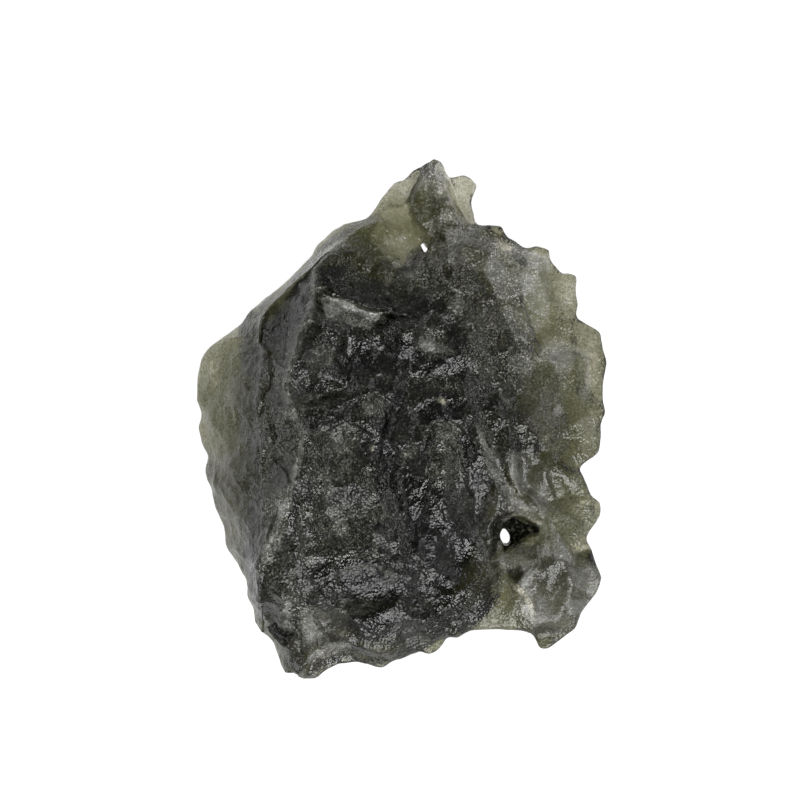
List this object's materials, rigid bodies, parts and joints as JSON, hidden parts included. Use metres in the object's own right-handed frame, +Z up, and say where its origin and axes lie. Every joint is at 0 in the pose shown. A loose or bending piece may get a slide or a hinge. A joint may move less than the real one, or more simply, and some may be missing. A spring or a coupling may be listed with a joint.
{
  "type": "moldavite",
  "caption": "Raw moldavite: a thick broken piece of etched olive-green natural glass with a ridged, pitted face and thin translucent edges, lying on its back.",
  "frame": {"origin": "on the surface the stone rests on, under the middle of its outline", "axes": "+Z up out of the broad face, +Y from the foot to the finger, +X to the side of the thin wing"},
  "size_m": [0.0274, 0.0344, 0.011],
  "materials": {
    "natural_glass": "frosted, etched natural glass, olive green where thin and nearly black where thick"
  },
  "bodies": {
    "root": {"moldavite": "natural_glass"}
  },
  "joints": []
}
